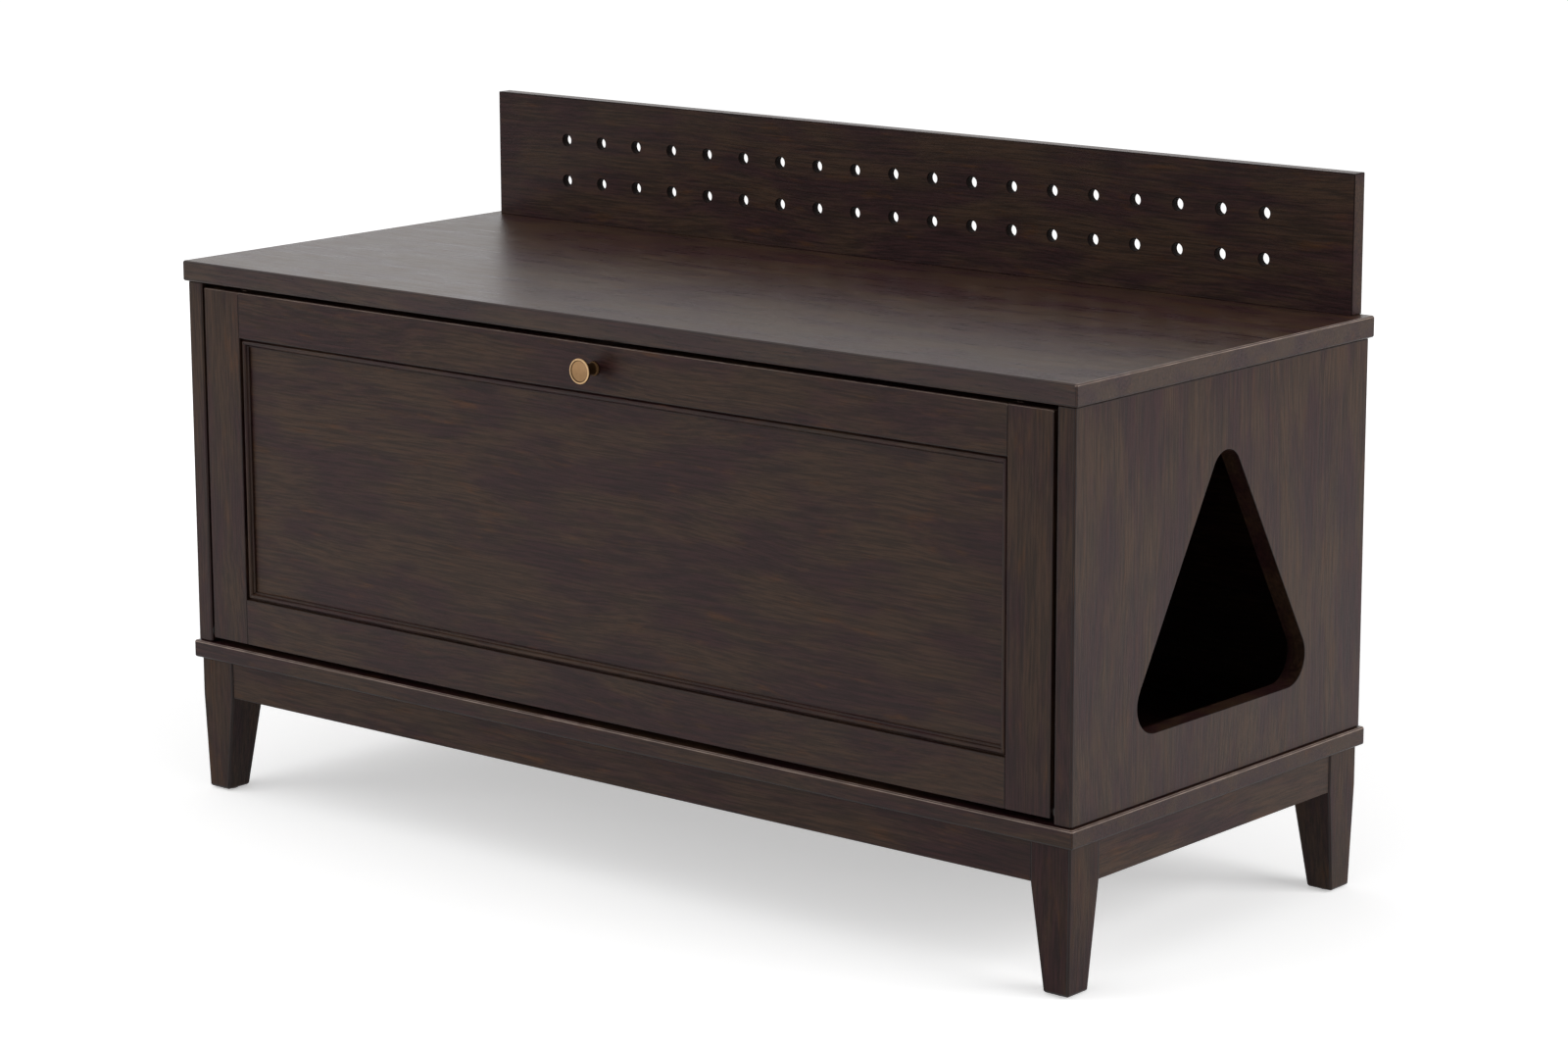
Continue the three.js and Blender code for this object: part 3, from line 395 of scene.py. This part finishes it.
def perforated_board():
    """A board that stands on the origin, with two rows of holes and a pocket behind them."""
    net = Net("gallery_perforations", gallery_sizes, ("Face", "Hole Wall"))
    facing_front = (math.pi / 2, 0, 0)
    facing_back = (-math.pi / 2, 0, 0)
    board = net.moved(
        net.node("GeometryNodeMeshCube", values={
            "Size": net.vector(net.size("Length"), net.size("Thickness"), net.size("Height"))}),
        net.vector(z=net.math("MULTIPLY", net.size("Height"), 0.5)))

    # Holes: a drill on each point of a grid
    pitches = net.math("SUBTRACT", net.size("Columns"), 1)
    pattern_length = net.math("MULTIPLY", net.size("Pitch"), pitches)
    half_spacing = net.math("MULTIPLY", net.size("Row Spacing"), 0.5)
    pattern_middle = net.math("ADD", net.size("Lower Row"), half_spacing)
    spots = net.moved(
        net.node("GeometryNodeMeshGrid", values={
            "Size X": pattern_length, "Size Y": net.size("Row Spacing"),
            "Vertices X": net.size("Columns"), "Vertices Y": 2}),
        net.vector(z=pattern_middle), facing_front)
    drill = net.moved(
        net.node("GeometryNodeMeshCylinder", values={
            "Vertices": 48, "Radius": net.size("Hole Radius"),
            "Depth": net.math("MULTIPLY", net.size("Thickness"), 3.0)}),
        turn=facing_front)
    drills = net.realized(net.copies(spots, drill))

    # Pocket: a rounded outline round the holes, carried through the back of the board
    margin = net.math("MULTIPLY", net.size("Pocket Margin"), 2.0)
    outline = net.node("GeometryNodeFilletCurve", {"mode": "POLY"}, {
        "Curve": net.node("GeometryNodeCurvePrimitiveQuadrilateral", values={
            "Width": net.math("ADD", pattern_length, margin),
            "Height": net.math("ADD", net.size("Row Spacing"), margin)}),
        "Radius": net.math("MULTIPLY", net.size("Pocket Margin"), 0.5), "Count": 6})
    face = net.node("GeometryNodeFillCurve", {"mode": "NGONS"}, {"Curve": outline})
    cap = net.node("GeometryNodeExtrudeMesh", values={
        "Mesh": face, "Offset Scale": net.size("Thickness"), "Individual": False})
    floor = net.node("GeometryNodeFlipFaces", values={"Mesh": face})
    block = net.node("GeometryNodeMergeByDistance", values={
        "Geometry": net.joined(floor, cap), "Distance": 1e-5})
    half_thickness = net.math("MULTIPLY", net.size("Thickness"), 0.5)
    web_back = net.math("SUBTRACT", net.size("Web"), half_thickness)
    pocket = net.moved(block, net.vector(y=web_back, z=pattern_middle), facing_back)
    drilled = net.realized(net.cut(board, drills, pocket))

    # Hole walls: faces of the pattern that face neither front nor back
    place = net.node("GeometryNodeInputPosition")
    normal_y = net.coordinate(net.node("GeometryNodeInputNormal"), "Y")
    from_middle = net.math("SUBTRACT", net.coordinate(place, "Z"), pattern_middle)
    painted_rim_highlight = net.math("MULTIPLY", net.size("Hole Radius"), 1.5)
    reach_x = net.math("ADD", net.math("MULTIPLY", pattern_length, 0.5), painted_rim_highlight)
    reach_z = net.math("ADD", half_spacing, painted_rim_highlight)
    in_pattern = net.math(
        "MULTIPLY",
        net.math("LESS_THAN", net.math("ABSOLUTE", net.coordinate(place, "X")), reach_x),
        net.math("LESS_THAN", net.math("ABSOLUTE", from_middle), reach_z))
    sideways = net.math("LESS_THAN", net.math("ABSOLUTE", normal_y), 0.5)
    hole_wall = net.math("MULTIPLY", in_pattern, sideways)
    net.end(net.painted(net.painted(drilled, "Face"), "Hole Wall", hole_wall))
    return net


def grown(name, net, values, start=None):
    """Runs a geometry node tree and returns its result as an object with a plain mesh."""
    piece = bpy.data.objects.new(name, start or bpy.data.meshes.new(name))
    bpy.context.scene.collection.objects.link(piece)
    modifier = piece.modifiers.new(name, "NODES")
    modifier.node_group = net.tree
    for item in net.tree.interface.items_tree:
        if item.in_out == "INPUT" and item.name in values:
            modifier[item.identifier] = values[item.name]
    bpy.context.view_layer.update()
    shape = piece.evaluated_get(bpy.context.evaluated_depsgraph_get())
    mesh = bpy.data.meshes.new_from_object(shape)
    piece.modifiers.clear()
    piece.data = mesh
    return piece


gallery = grown("gallery", perforated_board(), {
    **gallery_sizes,
    "Face": stained_wood("wood_gallery", "x", (11, 2, 4), gloss=0.19),
    "Hole Wall": drilled_wood("drilled_wood"),
})
gallery.data.materials.append(lit_arris("gallery_board"))
round_edges(gallery, board_arris, finish_slot=2)
gallery_middle = (gallery_low + gallery_high) / 2
gallery.data.transform(Matrix.Translation((gallery_middle.x, gallery_middle.y, gallery_low.z)))
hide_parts("gallery_board")
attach(gallery, "carcass")


# ------------------------------------------------------------------ door
# A frame of two stiles and two rails, joined with glued tenons, round a flat panel in a groove.
# A small bead is mitred round the panel.

door_arris = lit_arris("door_top_rail")
dress(stained_wood("wood_stiles", "z", (7, 2, 1)), "door_left_stile", "door_right_stile",
      arris=board_arris, arris_finish=door_arris)
dress(stained_wood("wood_rails", "x", (3, 1, 12)), "door_top_rail", "door_bottom_rail",
      arris=board_arris, arris_finish=door_arris)
dress(stained_wood("wood_panel", "x", (1, 4, 7)), "door_panel", arris=board_arris)
dress(stained_wood("wood_long_beads", "x", (5, 9, 1)), "door_top_bead", "door_bottom_bead",
      arris=board_arris)
dress(stained_wood("wood_short_beads", "z", (5, 9, 1)), "door_left_bead", "door_right_bead",
      arris=board_arris)


# ------------------------------------------------------------------ knob
# Turned brass with a satin lacquer: a disc with a thin raised rim, a short neck and a round foot.
# A screw through the door's top rail holds it from behind.

mm = 0.001
knob_low, knob_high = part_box("knob")
knob_middle = Vector(((knob_low.x + knob_high.x) / 2, knob_high.y, (knob_low.z + knob_high.z) / 2))
knob_reach = knob_high.y - knob_low.y
knob_radius = (knob_high.x - knob_low.x) / 2
knob_rim_inner = knob_radius - 1.9 * mm
knob_face_dish = 0.8 * mm
knob_disc_thick = 3.2 * mm
knob_neck_radius = 5.8 * mm
knob_foot_radius = 7.5 * mm
knob_steps = 96


def satin_brass(name, middle):
    """Lacquered brass with painted light: a highlight on the rim, a dark line of shade inside it, and
    shade on the duller back.
    """
    brass = Finish(name)
    at = brass.node("ShaderNodeVectorMath", {"operation": "SUBTRACT"}, {0: brass.place(), 1: middle})
    flat = brass.node("ShaderNodeVectorMath", {"operation": "MULTIPLY"}, {0: at, 1: (1, 0, 1)})
    radius = brass.node("ShaderNodeVectorMath", {"operation": "LENGTH"}, {0: flat}, output="Value")
    reach = brass.coordinate(at, "Y") * -1
    clouding = brass.noise(at, (260, 260, 260), detail=3)
    face = brass.between(reach, knob_reach - 2.6 * mm, knob_reach - 1.4 * mm)
    painted_rim_highlight = brass.between(radius, knob_rim_inner - 0.1 * mm, knob_rim_inner + 0.4 * mm) * face
    inside_rim = brass.between(radius, knob_rim_inner - 1.1 * mm, knob_rim_inner - 0.5 * mm)
    painted_groove_shade = inside_rim * (1 - painted_rim_highlight) * face
    shade = brass.mix(clouding, colour(143, 112, 79), colour(163, 129, 93))
    # Painted highlight: the rim is coloured paler than the face.
    shade = brass.mix(painted_rim_highlight, shade, colour(202, 167, 125))
    # Painted shade: a dark line in the groove inside the rim.
    shade = brass.mix(painted_groove_shade * 0.85, shade, colour(46, 32, 20))
    # Painted shade: the back of the knob, behind the face, is coloured darker.
    shade = brass.mix(1 - face, shade, colour(82, 61, 39))
    return brass.surface(
        Base_Color=shade,
        Metallic=1.0,
        Roughness=0.3 + clouding * 0.1 + (1 - face) * 0.1,
    )


def knob_profile():
    """Radius and distance in front of the door, from the foot's middle round to the face's middle."""
    foot = knob_foot_radius
    neck = knob_neck_radius
    disc_back = knob_reach - knob_disc_thick
    face = knob_reach - knob_face_dish
    foot_outline = [
        (0, 0), (foot - 0.3 * mm, 0), (foot, 0.3 * mm), (foot, 1.3 * mm),
        (foot - 0.3 * mm, 1.7 * mm), (foot - 0.9 * mm, 1.8 * mm)]
    neck_outline = [
        (neck + 0.3 * mm, 2.3 * mm), (neck, 4.2 * mm), (neck, disc_back - 4 * mm),
        (neck + 0.3 * mm, disc_back - 2.4 * mm), (neck + 1.2 * mm, disc_back - 1.2 * mm),
        (neck + 3 * mm, disc_back - 0.5 * mm)]
    disc_outline = [
        (knob_radius - 0.9 * mm, disc_back), (knob_radius - 0.25 * mm, disc_back + 0.25 * mm),
        (knob_radius, disc_back + 0.9 * mm), (knob_radius, knob_reach - 0.8 * mm),
        (knob_radius - 0.2 * mm, knob_reach - 0.25 * mm), (knob_radius - 0.6 * mm, knob_reach)]
    face_outline = [
        (knob_rim_inner + 0.5 * mm, knob_reach), (knob_rim_inner + 0.1 * mm, knob_reach - 0.15 * mm),
        (knob_rim_inner - 0.1 * mm, face), (knob_rim_inner - 0.5 * mm, face - 0.15 * mm), (0, face)]
    return foot_outline + neck_outline + disc_outline + face_outline


def turned(name, profile, middle, steps, material):
    """A profile turned about the Y axis through a point, facing the front. Each of its points
    becomes a ring, or on the axis a single point."""
    points = []
    rings = []
    for radius, reach in profile:
        turns = [math.tau * step / steps for step in range(steps if radius else 1)]
        rings.append(range(len(points), len(points) + len(turns)))
        points += [middle + Vector((radius * math.cos(turn), -reach, radius * math.sin(turn)))
                   for turn in turns]
    faces = []
    for near, far in zip(rings, rings[1:]):
        for step in range(steps):
            ahead = (step + 1) % steps
            face = [near[step % len(near)], near[ahead % len(near)],
                    far[ahead % len(far)], far[step % len(far)]]
            faces.append(list(dict.fromkeys(face)))
    mesh = bpy.data.meshes.new(name)
    mesh.from_pydata(points, [], faces)
    mesh.shade_smooth()
    mesh.set_sharp_from_angle(angle=sharp_angle)
    mesh.materials.append(material)
    piece = bpy.data.objects.new(name, mesh)
    bpy.context.scene.collection.objects.link(piece)
    return piece


brass_finish = satin_brass("satin_brass", knob_middle)
knob = turned("turned_knob", knob_profile(), knob_middle, knob_steps, brass_finish)
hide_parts("knob")
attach(knob, "door")


# ------------------------------------------------------------------ stay, pins and strike plate
# Pressed and turned steel: the slotted arm, its bracket, rivet and stud, and the two pivot pins. The
# strike plate and the knob's screw are zinc plated, and the magnet is bare ferrite.


def bare_metal(name, low, high, lines_per_metre, roughness=0.3):
    """Unlacquered metal, plating or ferrite, with the fine lines of its working."""
    metal = Finish(name)
    lines = metal.noise(metal.place(), lines_per_metre, detail=3)
    return metal.surface(
        Base_Color=metal.mix(lines, low, high),
        Metallic=1.0,
        Roughness=roughness + lines * 0.15,
        Normal=metal.bump(lines, strength=0.08, distance=0.0001),
    )


stay_steel = bare_metal("brushed_steel", colour(176, 177, 178), colour(206, 206, 205), (900, 60, 900))
zinc_plate = bare_metal("zinc_plate", colour(150, 152, 154), colour(188, 187, 182), (300, 300, 300), 0.38)
ferrite = bare_metal("ferrite", colour(44, 44, 47), colour(60, 59, 60), (700, 700, 700), 0.5)
dress(stay_steel, "stay_arm", "stay_bracket", "stay_rivet", "stay_stud")
dress(stay_steel, "left_pivot_pin", "right_pivot_pin")
dress(zinc_plate, "strike_plate", "knob_screw")
dress(ferrite, "catch_magnet")


# ------------------------------------------------------------------ countersunk screws
# Wood screws of zinc-plated steel with a cross recess in a countersunk head. They are driven flush
# into the boards and fittings that they hold.

screw_sizes = {
    "Head Depth": 0.7,
    "Head Underside": 0.5,
    "Recess Length": 1.1,
    "Recess Width": 0.24,
    "Recess Height": 0.7,
    "Shank Length": 0.9,
    "Shank Middle": 0.52,
}
shank_share = 0.28


def screws_named(*starts):
    """The screws among the CAD nodes whose names start so."""
    return [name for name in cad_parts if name.startswith(starts)]


screw_groups = {
    "carcass": (screws_named("gallery_screw", "case_screw", "catch_screw"), Vector((0, 0, 1))),
    "door": (screws_named("strike_screw", "stay_bracket_screw"), Vector((0, -1, 0))),
}


def screw_spots(name, nodes, drive):
    """A point at each screw's head, with the sizes of its head and its shank."""
    mesh = bpy.data.meshes.new(name)
    boxes = [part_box(node) for node in nodes]
    middles = [(low + high) / 2 for low, high in boxes]
    lengths = [abs((high - low).dot(drive)) for low, high in boxes]
    heads = [high.x - low.x for low, high in boxes]
    mesh.from_pydata([m - drive * length / 2 for m, length in zip(middles, lengths)], [], [])
    head_size = mesh.attributes.new("head_size", "FLOAT_VECTOR", "POINT")
    shank_size = mesh.attributes.new("shank_size", "FLOAT_VECTOR", "POINT")
    for i, (head, length) in enumerate(zip(heads, lengths)):
        head_size.data[i].vector = (head / 2,) * 3
        shank_size.data[i].vector = (head * shank_share, head * shank_share, length)
    return mesh


def screw_net():
    """A unit head with a cross recess and a unit shank on each point, driven along a turned Z."""
    net = Net("countersunk_screws", {"Turn": 0.0, **screw_sizes}, takes_geometry=True)
    length, width, height = [net.size("Recess " + side) for side in ("Length", "Width", "Height")]
    head = net.node("GeometryNodeMeshCone", values={
        "Vertices": 32, "Radius Top": net.size("Head Underside"), "Radius Bottom": 1.0,
        "Depth": net.size("Head Depth")})
    bits = [net.node("GeometryNodeMeshCube", values={"Size": net.vector(x, y, height)})
            for x, y in ((length, width), (width, length))]
    shank = net.moved(
        net.node("GeometryNodeMeshCylinder", values={
            "Vertices": 20, "Radius": 1.0, "Depth": net.size("Shank Length")}),
        net.vector(z=net.size("Shank Middle")))
    parts = []
    for part, size in ((net.cut(head, *bits), "head_size"), (shank, "shank_size")):
        scale = net.node("GeometryNodeInputNamedAttribute", {"data_type": "FLOAT_VECTOR"}, {"Name": size})
        turn = net.vector(x=net.size("Turn"))
        parts.append(net.copies(net.size("Geometry"), part, Rotation=turn, Scale=scale))
    net.end(net.painted(net.realized(net.joined(*parts)), "Material"))
    return net


screws_net = screw_net()
for body, (nodes, drive) in screw_groups.items():
    turn = math.atan2(-drive.y, drive.z)
    start = screw_spots(body + "_screw_spots", nodes, drive)
    values = {**screw_sizes, "Turn": turn, "Material": zinc_plate}
    screws = grown(body + "_screws", screws_net, values, start)
    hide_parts(*nodes)
    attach(screws, body)


# ------------------------------------------------------------------ camera
# A long lens a little above the top, in front of the cabinet's right-hand corner, fitted to the
# edges of the photograph.

lens_mm = 100.3
camera_place = Vector((2.9164, -3.4052, 1.2976))
camera_sight = Vector((-0.63005, 0.74802, -0.20858))
camera_roll = math.radians(-0.17)

camera_data = bpy.data.cameras.new("camera")
camera_data.lens = lens_mm
camera_data.sensor_width = 36
camera = bpy.data.objects.new("camera", camera_data)
camera.rotation_mode = "QUATERNION"
camera.location = camera_place
level_turn = camera_sight.to_track_quat("-Z", "Y")
camera.rotation_quaternion = level_turn @ Matrix.Rotation(camera_roll, 3, "Z").to_quaternion()
bpy.context.scene.collection.objects.link(camera)
bpy.context.scene.camera = camera


# ------------------------------------------------------------------ stage
# A pale, matt, seamless floor in a white surround. One broad soft lamp hangs over the cabinet, and
# two smaller ones light its right side and its front.

floor_reach = 30
near_lift = 0.48
far_lift = 0.5
lift_starts = 0.8
lift_ends = 2.6
mirror_lift = 0.45
surround_light = 0.04


def white_floor():
    """Pale and matt where light falls on it, lifted to white for the eye and for reflections."""
    floor = Finish("pale_floor")
    seen = floor.node("ShaderNodeLightPath", output="Is Camera Ray")
    mirrored = floor.node("ShaderNodeLightPath", output="Is Glossy Ray")
    tone = floor.mix(seen, (0.86, 0.86, 0.86, 1), (0.95, 0.95, 0.95, 1))
    paper = floor.node("ShaderNodeBsdfDiffuse", values={"Color": tone})
    reach = floor.node("ShaderNodeVectorMath", {"operation": "LENGTH"}, {0: floor.place()}, output="Value")
    distant = floor.between(reach, lift_starts, lift_ends)
    level = seen * (near_lift + distant * far_lift) + mirrored * mirror_lift
    lift = floor.node("ShaderNodeEmission", values={"Color": (1, 1, 1, 1), "Strength": level})
    both = floor.node("ShaderNodeAddShader", values={0: paper, 1: lift})
    floor.node("ShaderNodeOutputMaterial", values={"Surface": both})
    return floor.owner


def white_surround():
    """White to the eye and in reflections, and only a little light on the cabinet itself."""
    surround = Finish("studio", "worlds")
    seen = surround.node("ShaderNodeLightPath", output="Is Camera Ray")
    mirrored = surround.node("ShaderNodeLightPath", output="Is Glossy Ray")
    level = surround_light + seen.math("MAXIMUM", seen, mirrored) * (1 - surround_light)
    white = surround.node("ShaderNodeBackground", values={"Color": (1, 1, 1, 1), "Strength": level})
    surround.node("ShaderNodeOutputWorld", values={"Surface": white})
    return surround.owner


def soft_lamp(name, place, target, width, height, watts):
    """A rectangular lamp turned to a target, and left out of reflections."""
    data = bpy.data.lights.new(name, "AREA")
    data.shape = "RECTANGLE"
    data.size = width
    data.size_y = height
    data.energy = watts
    lamp = bpy.data.objects.new(name, data)
    lamp.location = place
    lamp.rotation_euler = (Vector(target) - Vector(place)).to_track_quat("-Z", "Y").to_euler()
    lamp.visible_glossy = False
    bpy.context.scene.collection.objects.link(lamp)


floor_mesh = bpy.data.meshes.new("floor")
floor_corners = [(x * floor_reach, y * floor_reach, 0) for x, y in ((-1, -1), (1, -1), (1, 1), (-1, 1))]
floor_mesh.from_pydata(floor_corners, [], [(0, 1, 2, 3)])
floor_mesh.materials.append(white_floor())
floor = bpy.data.objects.new("floor", floor_mesh)
bpy.context.scene.collection.objects.link(floor)

bpy.context.scene.world = white_surround()
soft_lamp("overhead", (-0.6, -0.9, 3.0), (0, -0.2, 0.3), width=6.0, height=5.0, watts=84)
soft_lamp("side", (3.0, 0.8, 1.4), (0.3, 0, 0.4), width=2.2, height=1.8, watts=62)
soft_lamp("front_card", (-1.9, -2.6, 1.2), (-0.6, -0.2, 0.3), width=3.0, height=0.9, watts=31)
bpy.context.scene.view_settings.view_transform = "Standard"
